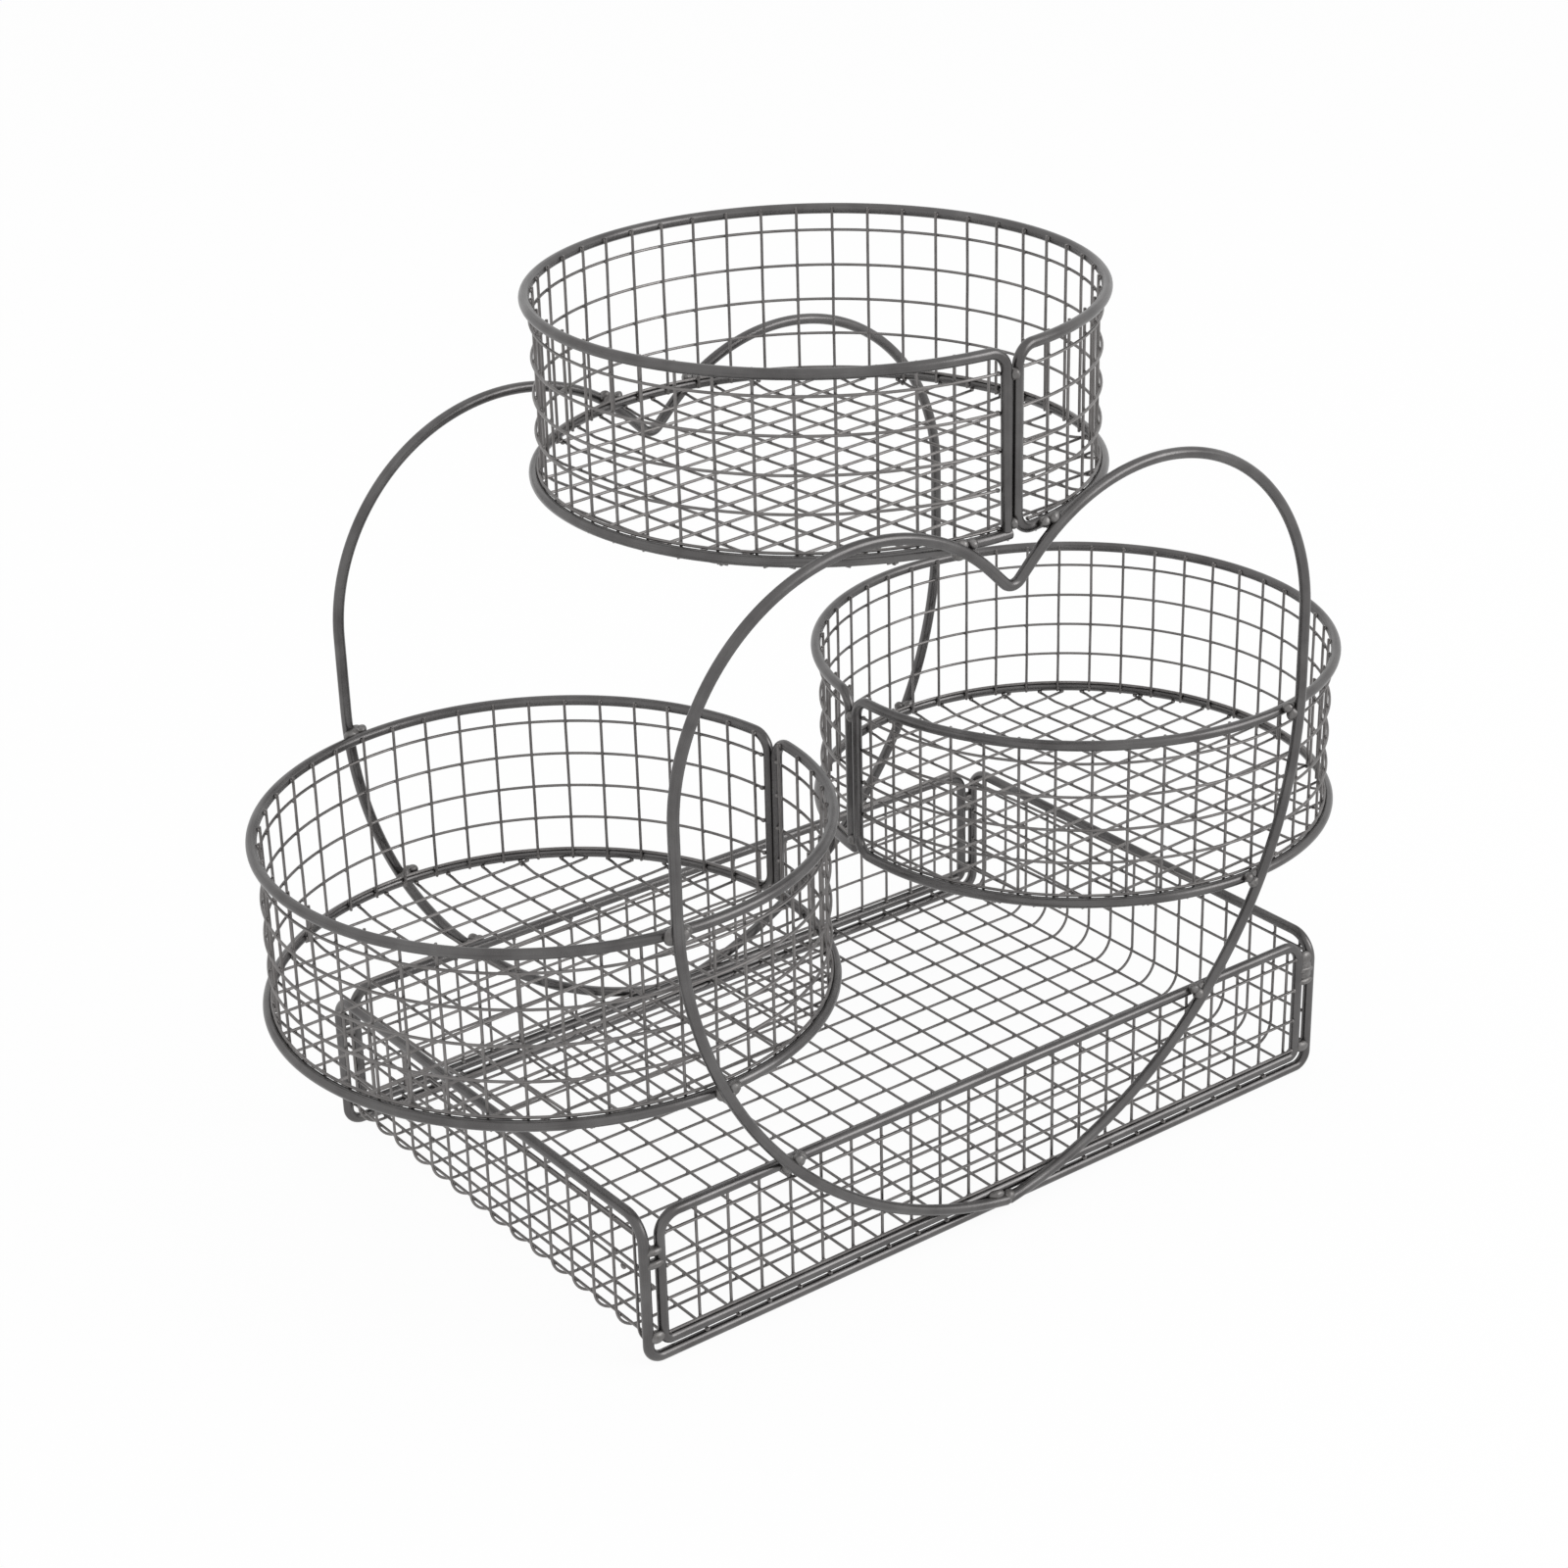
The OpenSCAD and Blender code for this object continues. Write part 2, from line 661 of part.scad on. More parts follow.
tray_end_frame();
tray_front_panel_frame();
tray_back_panel_frame();
tray_bed_long_wires();
tray_bed_cross_wires();
tray_front_panel_uprights();
tray_front_panel_rows();
tray_back_panel_uprights();
tray_back_panel_rows();
tray_corner_welds();
front_hoop();
back_hoop();
front_hoop_welds();
back_hoop_welds();
top_basket_frame();
top_basket_wall_uprights();
top_basket_wall_hoops();
top_basket_floor_long_wires();
top_basket_floor_cross_wires();
top_basket_seam_welds();
left_basket_frame();
left_basket_wall_uprights();
left_basket_wall_hoops();
left_basket_floor_long_wires();
left_basket_floor_cross_wires();
left_basket_seam_welds();
right_basket_frame();
right_basket_wall_uprights();
right_basket_wall_hoops();
right_basket_floor_long_wires();
right_basket_floor_cross_wires();
right_basket_seam_welds();
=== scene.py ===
import math

import bmesh
import bpy
import numpy as np
from mathutils import Matrix, Vector


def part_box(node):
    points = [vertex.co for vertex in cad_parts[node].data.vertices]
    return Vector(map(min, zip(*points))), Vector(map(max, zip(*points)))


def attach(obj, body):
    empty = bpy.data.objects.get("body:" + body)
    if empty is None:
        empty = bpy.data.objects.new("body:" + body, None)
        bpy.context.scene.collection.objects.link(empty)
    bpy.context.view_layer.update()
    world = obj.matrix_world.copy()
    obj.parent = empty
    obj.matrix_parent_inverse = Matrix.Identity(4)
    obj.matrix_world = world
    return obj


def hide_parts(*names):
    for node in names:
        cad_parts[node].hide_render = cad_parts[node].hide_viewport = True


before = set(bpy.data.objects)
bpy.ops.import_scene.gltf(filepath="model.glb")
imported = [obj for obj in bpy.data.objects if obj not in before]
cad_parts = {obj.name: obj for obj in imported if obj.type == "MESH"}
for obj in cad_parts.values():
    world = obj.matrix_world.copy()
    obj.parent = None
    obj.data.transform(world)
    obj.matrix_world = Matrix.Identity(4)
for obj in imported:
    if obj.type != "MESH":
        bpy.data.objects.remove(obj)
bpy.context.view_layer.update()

# Sizes in millimetres, the same as those the solids are made from
MM = 0.001
FRAME_R = 2.5
HOOP_R = 2.6
WIRE_R = 0.7
SPACING = 17.0
JOINT_GAP = 0.05

TRAY_L, TRAY_W, TRAY_H = 400.0, 256.0, 70.0
TRAY_TOP_BEND, TRAY_FOOT_BEND = 12.0, 7.0
PANEL_INSET, PANEL_LIFT = 8.2, 7.0
PANEL_TOP_BEND, PANEL_LOW_BEND = 10.0, 4.0
PANEL_FIRST_ROW, PANEL_WIRE_SHIFT = 8.4, -2.0
BED_BEND, BED_CROSS_SHIFT, BED_LONG_SHIFT = 12.0, 1.0, -2.0

HOOP_HALF_W, HOOP_BOTTOM_Z = 179.0, 5.5
HOOP_LOW_R, HOOP_SIDE_L = 213.0, 36.0
HUMP_R, NOTCH_R, NOTCH_ANGLE = 98.0, 6.0, math.radians(45)

BASKET_H, BASKET_BEND, SEAM_SPACING = 81.0, 9.0, 6.2
BASKET_FIRST_ROW = 10.0
SIDE_BASKET_X, SIDE_RING_Z, TOP_RING_LIFT = 157.0, 121.5, 21.0

CORNER_BEAD_Z, CORNER_BEAD_SPACING = 51.5, 6.4
SEAM_BEAD_DROP, SEAM_BEAD_RISE = 10.5, 5.0
ROD_BEAD_R = 2.4

# How far the floor wires' ends stay inside the ring's centre line, how far under it, and
# over what length the wires rise to it
RING_END, RING_SEAT, RISE_LENGTH = 0.6, 2.95, 12.0

# How far the foot of a basket's second seam rod leans towards the first
SEAM_LEAN = 0.6

# Fineness of the meshes: sides of a rod and of a wire, spacing of points in tight and in
# wide bends and along a wire
ROD_SIDES, WIRE_SIDES = 24, 8
TIGHT_PITCH, WIDE_PITCH, WIRE_PITCH = 0.8, 3.5, 8.5

# Share of a rod's radius that its cut ends are chamfered by, and the least angle between
# two faces that shows as an edge
CHAMFER, EDGE_ANGLE = 0.16, math.radians(40)

# How far the browning reaches from a weld, and how far apart along their length two rods
# can start in the same drawing marks
HEAT_REACH, MARK_SHIFT = 7.5, 977

# A direction that is along no weld's normal
ASKEW = (0.37, 0.21, 0.9)

# Derived places
STEP = 2 * WIRE_R + JOINT_GAP
SEAT = FRAME_R + WIRE_R + JOINT_GAP
REACH = 0.6 * FRAME_R
FOOT_Z = FRAME_R
TOP_Z = FOOT_Z + TRAY_H
PANEL_LOW_Z = FOOT_Z + PANEL_LIFT
PANEL_HALF = TRAY_L / 2 - PANEL_INSET
BED_LONG_Z = FOOT_Z + SEAT - STEP
BED_FLAT = TRAY_L / 2 - BED_BEND
BED_BEND_LEN = BED_BEND * math.pi / 2
BED_WALL_LEN = TOP_Z - BED_LONG_Z - BED_BEND - FRAME_R

HOOP_Y = TRAY_W / 2 + FRAME_R + HOOP_R + JOINT_GAP
LOW_X = HOOP_HALF_W - HOOP_LOW_R
LOW_Z = HOOP_BOTTOM_Z + math.sqrt(HOOP_LOW_R**2 - LOW_X**2)
LOW_END = math.acos((JOINT_GAP - LOW_X) / (HOOP_LOW_R - HOOP_R))
HUMP_X = HOOP_HALF_W - HUMP_R
HUMP_Z = LOW_Z + HOOP_SIDE_L
FLANK_TOP_X = HUMP_X - HUMP_R * math.sin(NOTCH_ANGLE)
FLANK_TOP_Z = HUMP_Z + HUMP_R * math.cos(NOTCH_ANGLE)
FLANK_LOW_X = NOTCH_R * math.sin(NOTCH_ANGLE)
FLANK_LOW_Z = FLANK_TOP_Z - (FLANK_TOP_X - FLANK_LOW_X) * math.tan(NOTCH_ANGLE)
NOTCH_Z = FLANK_LOW_Z + NOTCH_R * math.cos(NOTCH_ANGLE)

BASKET_R = HOOP_Y - HOOP_R - FRAME_R - JOINT_GAP
TOP_RING_Z = NOTCH_Z - NOTCH_R + TOP_RING_LIFT
UPRIGHT_R = BASKET_R - SEAT
ROW_R = UPRIGHT_R + STEP
FLOOR_REACH = BASKET_R + REACH
BEND_TILT = math.atan2(BASKET_BEND, BASKET_R)
BEND_ANGLE = math.asin(SEAM_SPACING / 2 / math.hypot(BASKET_R, BASKET_BEND)) + BEND_TILT
SEAM_ROD_R = math.hypot(BASKET_R, BASKET_BEND) * math.cos(BEND_ANGLE - BEND_TILT)
ROW_END = math.asin((SEAM_SPACING / 2 + FRAME_R + JOINT_GAP) / ROW_R)
LOW_ROW_END = math.asin((SEAM_SPACING / 2 + BASKET_BEND) / ROW_R)
ROW_CLEAR = math.sqrt(SEAT**2 - (BASKET_R - ROW_R) ** 2)
ROW_COUNT = math.floor((BASKET_H - ROW_CLEAR - BASKET_FIRST_ROW) / SPACING) + 1
UPRIGHT_STEP = SPACING / UPRIGHT_R
STRIP_EDGE = math.asin((SEAM_SPACING / 2 + FRAME_R + 2 * WIRE_R) / UPRIGHT_R)
UPRIGHT_COUNT = math.floor((2 * math.pi - 2 * STRIP_EDGE) / UPRIGHT_STEP) + 1

# Middle, height of the ring, turn of the seam and turn of the floor of each basket
BASKETS = {
    "top_basket": (0.0, TOP_RING_Z, -88.5, 5.0),
    "left_basket": (-SIDE_BASKET_X, SIDE_RING_Z, 1.0, 2.0),
    "right_basket": (SIDE_BASKET_X, SIDE_RING_Z, 173.0, 3.0),
}

rng = np.random.default_rng(7)


# Camera

def place_camera(place, azimuth, elevation, roll, lens):
    """Puts the camera at a place, looking along an azimuth and down an elevation."""
    a, e, r = math.radians(azimuth), math.radians(elevation), math.radians(roll)
    back = Vector((math.sin(a) * math.cos(e), -math.cos(a) * math.cos(e), math.sin(e)))
    level = Vector((math.cos(a), math.sin(a), 0))
    up = back.cross(level)
    across = level * math.cos(r) + up * math.sin(r)
    upward = up * math.cos(r) - level * math.sin(r)
    data = bpy.data.cameras.new("camera")
    data.lens = lens
    data.sensor_width = 36
    data.clip_start = 0.05
    camera = bpy.data.objects.new("camera", data)
    turn = Matrix((across, upward, back)).transposed().to_4x4()
    camera.matrix_world = Matrix.Translation(place) @ turn
    bpy.context.scene.collection.objects.link(camera)
    bpy.context.scene.camera = camera


place_camera(Vector((-0.8213, -1.0736, 0.8073)), azimuth=-36.59, elevation=25.20,
             roll=-1.53, lens=72.54)


# Paths

def unit(v):
    return v / np.linalg.norm(v)


def along(a, b, pitch=4.0):
    """Points from a to b, both ends among them."""
    a, b = np.array(a, float), np.array(b, float)
    n = max(1, math.ceil(np.linalg.norm(b - a) / pitch))
    return a + (b - a) * np.linspace(0, 1, n + 1)[:, None]


def arc(centre, x_dir, y_dir, r, start, end, pitch=2.0):
    """Points of an arc about a centre, from one angle to another, in radians."""
    n = max(6, math.ceil(abs(end - start) * r / pitch))
    t = np.linspace(start, end, n + 1)[:, None]
    x, y = np.array(x_dir, float), np.array(y_dir, float)
    return np.array(centre, float) + r * (np.cos(t) * x + np.sin(t) * y)


def joined(*runs):
    """One path out of several that follow each other, without repeated points."""
    path = [runs[0]]
    for run in runs[1:]:
        path.append(run[1:] if np.linalg.norm(run[0] - path[-1][-1]) < 0.01 else run)
    return np.concatenate(path)


def rounded_loop(corners, radii):
    """Closed path through corners, each rounded to its own radius."""
    corners = [np.array(c, float) for c in corners]
    n = len(corners)
    bends = []
    for i, (corner, r) in enumerate(zip(corners, radii)):
        back = unit(corners[i - 1] - corner)
        ahead = unit(corners[(i + 1) % n] - corner)
        centre = corner + r * (back + ahead)
        bends.append(arc(centre, -ahead, -back, r, 0, math.pi / 2, 1.0))
    runs = []
    for i, bend in enumerate(bends):
        runs.append(bend)
        runs.append(along(bend[-1], bends[(i + 1) % n][0]))
    path = joined(*runs)
    return path[:-1]


# Meshes

class Shape:
    """Points in millimetres and faces that several closed forms are gathered in."""

    def __init__(self):
        self.points, self.faces, self.lanes, self.glow = [], [], [], []
        self.count = 0

    def add(self, points, faces, lanes, glow=0.0):
        self.points.append(points)
        self.lanes.append(lanes)
        self.glow.append(np.full(len(points), glow))
        self.faces.extend((np.array(f) + self.count).tolist() for f in faces)
        self.count += len(points)


def tube(shape, path, r, sides, closed=False):
    """Adds a round rod along a path. Its lanes say where a point is round and along the
    rod, so that drawing marks can run lengthwise."""
    p = np.asarray(path, float)
    if closed:
        t = np.roll(p, -1, 0) - np.roll(p, 1, 0)
    else:
        t = np.gradient(p, axis=0)
    t /= np.linalg.norm(t, axis=1)[:, None]
    n = len(p)
    side = np.cross(t[0], (0.0, 0.0, 1.0))
    if np.linalg.norm(side) < 0.1:
        side = np.cross(t[0], (0.0, 1.0, 0.0))
    u = np.empty_like(p)
    u[0] = unit(side)
    for i in range(1, n):
        u[i] = unit(u[i - 1] - t[i] * (u[i - 1] @ t[i]))
    if closed:
        last = unit(u[-1] - t[0] * (u[-1] @ t[0]))
        twist = math.atan2(np.cross(last, u[0]) @ t[0], last @ u[0])
        lean = twist * np.arange(n) / n
        u = u * np.cos(lean)[:, None] + np.cross(t, u) * np.sin(lean)[:, None]
    v = np.cross(t, u)
    centres, radii = p, np.full(n, r)
    if not closed:
        chamfer = CHAMFER * r
        first, last = p[:1] + t[:1] * chamfer, p[-1:] - t[-1:] * chamfer
        centres = np.concatenate([p[:1], first, p[1:-1], last, p[-1:]])
        radii = np.concatenate([[r - chamfer], np.full(n, r), [r - chamfer]])
        u = np.concatenate([u[:1], u, u[-1:]])
        v = np.concatenate([v[:1], v, v[-1:]])
        n += 2
    angle = 2 * math.pi * np.arange(sides) / sides
    ring = np.cos(angle)[None, :, None] * u[:, None] + np.sin(angle)[None, :, None] * v[:, None]
    points = (centres[:, None] + radii[:, None, None] * ring).reshape(-1, 3)
    steps = np.linalg.norm(np.diff(centres, axis=0), axis=1)
    length = np.concatenate([[0], np.cumsum(steps)])
    lanes = np.stack([
        np.tile(r * np.cos(angle), n), np.tile(r * np.sin(angle), n),
        np.repeat(length, sides) + MARK_SHIFT * rng.random()], -1)
    rows = n if closed else n - 1
    i, j = np.meshgrid(np.arange(rows), np.arange(sides), indexing="ij")
    i2, j2 = (i + 1) % n, (j + 1) % sides
    quads = np.stack([i * sides + j, i * sides + j2, i2 * sides + j2, i2 * sides + j], -1)
    faces = quads.reshape(-1, 4).tolist()
    if not closed:
        faces.append(list(range(sides))[::-1])
        faces.append(list(range((n - 1) * sides, n * sides)))
    shape.add(points, faces, lanes)


def ball_template(level):
    """Points and faces of a round ball of radius 1."""
    bm = bmesh.new()
    bmesh.ops.create_icosphere(bm, subdivisions=level, radius=1)
    points = np.array([v.co[:] for v in bm.verts])
    faces = [[v.index for v in f.verts] for f in bm.faces]
    bm.free()
    return points, faces


SMALL_BALL = ball_template(2)
LARGE_BALL = ball_template(5)


def lump(shape, centre, radii, axes=None, rough=0.12, ball=None, glow=1.0, waves=5):
    """Adds an uneven blob of weld metal with three radii along three directions."""
    points, faces = ball or SMALL_BALL
    push = np.zeros(len(points))
    for k in range(waves):
        way = unit(rng.normal(size=3)) * (1.5 + 1.1 * k)
        push += np.sin(points @ way + rng.uniform(0, 2 * math.pi)) / (1 + 0.7 * k)
    shaped = points * (1 + rough * push[:, None]) * np.array(radii, float)
    if axes is not None:
        shaped = shaped @ np.array(axes, float)
    shape.add(shaped + np.array(centre, float), faces, shaped + rng.uniform(-500, 500, 3), glow)


def heat_at(points, welds):
    """How strongly each point was heated by the nearest weld, from 0 to 1."""
    heat = np.zeros(len(points))
    for weld in welds:
        away = np.linalg.norm(points - np.array(weld), axis=1)
        heat = np.maximum(heat, np.exp(-((away / HEAT_REACH) ** 2)))
    return heat


def piece(shape, node, material, welds=()):
    """Makes the object that stands for a node."""
    points = np.concatenate(shape.points)
    mesh = bpy.data.meshes.new(node + "_metal")
    mesh.from_pydata((points * MM).tolist(), [], shape.faces)
    mesh.update()
    heat = np.maximum(np.concatenate(shape.glow), heat_at(points, welds)).astype(np.float32)
    mesh.attributes.new("heat", "FLOAT", "POINT").data.foreach_set("value", heat)
    lanes = (np.concatenate(shape.lanes) * MM).astype(np.float32).ravel()
    mesh.attributes.new("lane", "FLOAT_VECTOR", "POINT").data.foreach_set("vector", lanes)
    mesh.shade_smooth()
    mesh.set_sharp_from_angle(angle=EDGE_ANGLE)
    mesh.materials.append(material)
    made = bpy.data.objects.new(node + "_metal", mesh)
    bpy.context.scene.collection.objects.link(made)
    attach(made, "root")
    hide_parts(node)
    low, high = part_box(node)
    stray = max(
        max(abs(points.min(0)[i] * MM - low[i]), abs(points.max(0)[i] * MM - high[i]))
        for i in range(3))
    print(f"{node}: {len(shape.faces)} faces, box off by {stray / MM:.2f} mm")


# Materials

class Graph:
    """Short calls for the nodes of one material."""

    def __init__(self, name):
        self.material = bpy.data.materials.new(name)
        self.material.use_nodes = True
        self.tree = self.material.node_tree
        self.shader = self.tree.nodes["Principled BSDF"]

    def node(self, kind, **values):
        made = self.tree.nodes.new(kind)
        for key, value in values.items():
            setattr(made, key, value)
        return made

    def link(self, a, b):
        self.tree.links.new(a, b)

    def lane_noise(self, around, lengthwise, detail, rough=0.55):
        """Noise stretched along the rod, with its scales per metre."""
        lane = self.node("ShaderNodeAttribute", attribute_name="lane")
        place = self.node("ShaderNodeMapping")
        place.inputs["Scale"].default_value = (around, around, lengthwise)
        noise = self.node("ShaderNodeTexNoise")
        noise.inputs["Scale"].default_value = 1.0
        noise.inputs["Detail"].default_value = detail
        noise.inputs["Roughness"].default_value = rough
        self.link(lane.outputs["Vector"], place.inputs["Vector"])
        self.link(place.outputs["Vector"], noise.inputs["Vector"])
        return noise.outputs["Fac"]

    def room_noise(self, scale, detail, rough=0.55):
        """Noise fixed to the object, with its scale per metre."""
        where = self.node("ShaderNodeTexCoord")
        noise = self.node("ShaderNodeTexNoise")
        noise.inputs["Scale"].default_value = scale
        noise.inputs["Detail"].default_value = detail
        noise.inputs["Roughness"].default_value = rough
        self.link(where.outputs["Object"], noise.inputs["Vector"])
        return noise.outputs["Fac"]

    def spread(self, value, from_low, from_high, to_low, to_high):
        """A value taken from one range to another."""
        spread = self.node("ShaderNodeMapRange")
        for key, number in zip(("From Min", "From Max", "To Min", "To Max"),
                               (from_low, from_high, to_low, to_high)):
            spread.inputs[key].default_value = number
        self.link(value, spread.inputs["Value"])
        return spread.outputs["Result"]

    def math(self, operation, a, b):
        node = self.node("ShaderNodeMath", operation=operation)
        for socket, value in zip(node.inputs, (a, b)):
            if isinstance(value, (int, float)):
                socket.default_value = value
            else:
                self.link(value, socket)
        return node.outputs["Value"]

    def blend(self, factor, a, b, how="MIX"):
        """Mixes two colours, each a tuple or a socket."""
        node = self.node("ShaderNodeMix", data_type="RGBA", blend_type=how)
        self.link(factor, node.inputs["Factor"])
        for socket, value in ((node.inputs["A"], a), (node.inputs["B"], b)):
            if isinstance(value, tuple):
                socket.default_value = (*value, 1)
            else:
                self.link(value, socket)
        return node.outputs["Result"]

    def bump(self, height, distance, strength=1.0, under=None):
        node = self.node("ShaderNodeBump")
        node.inputs["Distance"].default_value = distance
        node.inputs["Strength"].default_value = strength
        self.link(height, node.inputs["Height"])
        if under is not None:
            self.link(under, node.inputs["Normal"])
        return node.outputs["Normal"]

    def heat(self):
        return self.node("ShaderNodeAttribute", attribute_name="heat").outputs["Fac"]


def rod_material():
    """Drawn steel rod with a satin gunmetal finish, browned near the welds."""
    dark, pale, burnt = (0.1, 0.096, 0.096), (0.15, 0.146, 0.145), (0.075, 0.06, 0.052)
    dark_streak, pale_streak = (0.05, 0.047, 0.046), (0.21, 0.205, 0.203)
    g = Graph("bent_rod_pewter")
    drawn = g.lane_noise(1700, 34, 4)
    fine = g.lane_noise(4200, 160, 3, 0.6)
    cloud = g.room_noise(52, 4)
    grain = g.room_noise(1500, 2)
    tone = g.blend(g.spread(cloud, 0.3, 0.7, 0, 1), dark, pale)
    tone = g.blend(g.spread(drawn, 0.5, 0.78, 0, 0.34), tone, dark_streak)
    tone = g.blend(g.spread(fine, 0.55, 0.8, 0, 0.22), tone, pale_streak)
    warm = g.math("MULTIPLY", g.heat(), g.spread(cloud, 0.25, 0.7, 0.35, 0.95))
    tone = g.blend(warm, tone, burnt)
    g.link(tone, g.shader.inputs["Base Color"])
    uneven = g.spread(grain, 0.2, 0.8, -0.02, 0.05)
    rough = g.math("ADD", g.spread(drawn, 0.3, 0.75, 0.23, 0.36), uneven)
    rough = g.math("ADD", rough, g.math("MULTIPLY", g.heat(), 0.1))
    g.link(rough, g.shader.inputs["Roughness"])
    normal = g.bump(drawn, 0.00003, 0.5)
    normal = g.bump(grain, 0.00002, 0.35, normal)
    g.link(normal, g.shader.inputs["Normal"])
    g.shader.inputs["Metallic"].default_value = 1.0
    return g.material


def wire_material():
    """Thin drawn wire of the mesh, duller and browner than the rods."""
    dark, pale = (0.16, 0.152, 0.149), (0.235, 0.225, 0.221)
    streak, burnt = (0.095, 0.088, 0.085), (0.045, 0.039, 0.035)
    g = Graph("mesh_wire_pewter")
    drawn = g.lane_noise(3800, 60, 3)
    cloud = g.room_noise(75, 4)
    grain = g.room_noise(1900, 2)
    tone = g.blend(g.spread(cloud, 0.3, 0.7, 0, 1), dark, pale)
    tone = g.blend(g.spread(drawn, 0.5, 0.8, 0, 0.3), tone, streak)
    warm = g.math("MULTIPLY", g.heat(), g.spread(grain, 0.3, 0.7, 0.5, 1.0))
    tone = g.blend(warm, tone, burnt)
    g.link(tone, g.shader.inputs["Base Color"])
    g.link(g.spread(grain, 0.2, 0.8, 0.33, 0.48), g.shader.inputs["Roughness"])
    g.link(g.bump(grain, 0.00003, 0.5), g.shader.inputs["Normal"])
    g.shader.inputs["Metallic"].default_value = 1.0
    return g.material


def weld_material():
    """Weld metal: rippled and pitted, with a brown scale in its hollows. The hotter a bead
    was, the darker it is."""
    dark, pale = (0.14, 0.134, 0.131), (0.21, 0.205, 0.202)
    scale, black = (0.08, 0.066, 0.058), (0.022, 0.02, 0.019)
    g = Graph("weld_bead_steel")
    cloud = g.room_noise(260, 4, 0.6)
    pits = g.room_noise(1100, 3, 0.65)
    tone = g.blend(g.spread(cloud, 0.35, 0.65, 0, 1), dark, pale)
    tone = g.blend(g.spread(pits, 0.55, 0.72, 0, 0.4), tone, scale)
    tone = g.blend(g.spread(g.heat(), 0.4, 1.0, 0, 0.94), tone, black)
    g.link(tone, g.shader.inputs["Base Color"])
    g.link(g.spread(pits, 0.3, 0.7, 0.32, 0.5), g.shader.inputs["Roughness"])
    normal = g.bump(cloud, 0.0003, 0.5)
    normal = g.bump(pits, 0.00006, 0.45, normal)
    g.link(normal, g.shader.inputs["Normal"])
    g.shader.inputs["Metallic"].default_value = 1.0
    return g.material


ROD = rod_material()
WIRE = wire_material()
WELD = weld_material()


# Where the welds are

def low_arc_x(z):
    """How far a hoop's low arc is from the middle at a height."""
    return LOW_X + math.sqrt(HOOP_LOW_R**2 - (LOW_Z - z) ** 2)


def ring_y(away):
    """How far from its middle a ring is to front and back, at a distance sideways."""
    return math.sqrt(BASKET_R**2 - away**2)


def hoop_weld_places():
    """Places of the back hoop's welds on the +X side, halfway between the hoop and the
    rods that it meets."""
    rim_z = SIDE_RING_Z + BASKET_H
    rim_x, ring_x = low_arc_x(rim_z), low_arc_x(SIDE_RING_Z)
    top_x = HUMP_X - math.sqrt(HUMP_R**2 - (TOP_RING_Z - HUMP_Z) ** 2)
    places = [
        (low_arc_x(TOP_Z), TRAY_W / 2, TOP_Z),
        (rim_x, ring_y(rim_x - SIDE_BASKET_X), rim_z),
        (ring_x, ring_y(ring_x - SIDE_BASKET_X), SIDE_RING_Z),
        (top_x, ring_y(top_x), TOP_RING_Z),
    ]
    return [(x, (y + HOOP_Y) / 2, z) for x, y, z in places]


HOOP_WELDS = hoop_weld_places()
CORNER_X = TRAY_L / 2 - PANEL_INSET / 2
PAIR_Z = FOOT_Z + CORNER_BEAD_Z
CORNER_HEIGHTS = [PANEL_LOW_Z + PANEL_LOW_BEND,
                  PAIR_Z - CORNER_BEAD_SPACING / 2, PAIR_Z + CORNER_BEAD_SPACING / 2]
CORNER_WELDS = [(sx * CORNER_X, sy * TRAY_W / 2, z)
                for sx in (-1, 1) for sy in (-1, 1) for z in CORNER_HEIGHTS]
MEETING = [(0, sy * (HOOP_Y - 1.5), HOOP_BOTTOM_Z) for sy in (-1, 1)]
HOOP_WELDS_ALL = [(sx * x, sy * y, z) for x, y, z in HOOP_WELDS
                  for sx in (-1, 1) for sy in (-1, 1)] + MEETING


def set_down(points, basket, degrees):
    """Points about a basket's middle, turned and taken to the frame of the whole rack."""
    x, z = BASKETS[basket][:2]
    a = math.radians(degrees)
    p = np.atleast_2d(np.array(points, float))
    return np.stack([p[:, 0] * math.cos(a) - p[:, 1] * math.sin(a) + x,
                     p[:, 0] * math.sin(a) + p[:, 1] * math.cos(a), p[:, 2] + z], -1)


def turned(points, basket):
    """Points about a basket's middle with the seam on +X, taken to the rack's frame."""
    return set_down(points, basket, BASKETS[basket][2])


def facing(way, basket):
    """A direction with the basket's seam on +X, taken to the rack's frame."""
    return turned(way, basket)[0] - turned((0, 0, 0), basket)[0]


SEAM_WELDS = {b: turned([(SEAM_ROD_R + 1.5, 0, BASKET_H - SEAM_BEAD_DROP),
                         (SEAM_ROD_R + 1.5, 0, SEAM_BEAD_RISE)], b) for b in BASKETS}


# Rods

def tray_end_rod():
    ends = [(1, 1, 0), (1, 1, 1), (1, -1, 1), (1, -1, 0),
            (-1, -1, 0), (-1, -1, 1), (-1, 1, 1), (-1, 1, 0)]
    corners = [(x * TRAY_L / 2, y * TRAY_W / 2, TOP_Z if up else FOOT_Z) for x, y, up in ends]
    radii = [TRAY_TOP_BEND if up else TRAY_FOOT_BEND for _, _, up in ends]
    shape = Shape()
    tube(shape, rounded_loop(corners, radii), FRAME_R, ROD_SIDES, closed=True)
    piece(shape, "tray_end_frame", ROD, CORNER_WELDS + MEETING)


def panel_rod(node, side):
    y = side * TRAY_W / 2
    corners = [(PANEL_HALF, y, PANEL_LOW_Z), (PANEL_HALF, y, TOP_Z),
               (-PANEL_HALF, y, TOP_Z), (-PANEL_HALF, y, PANEL_LOW_Z)]
    radii = [PANEL_LOW_BEND, PANEL_TOP_BEND, PANEL_TOP_BEND, PANEL_LOW_BEND]
    shape = Shape()
    tube(shape, rounded_loop(corners, radii), FRAME_R, ROD_SIDES, closed=True)
    piece(shape, node, ROD, CORNER_WELDS + HOOP_WELDS_ALL)


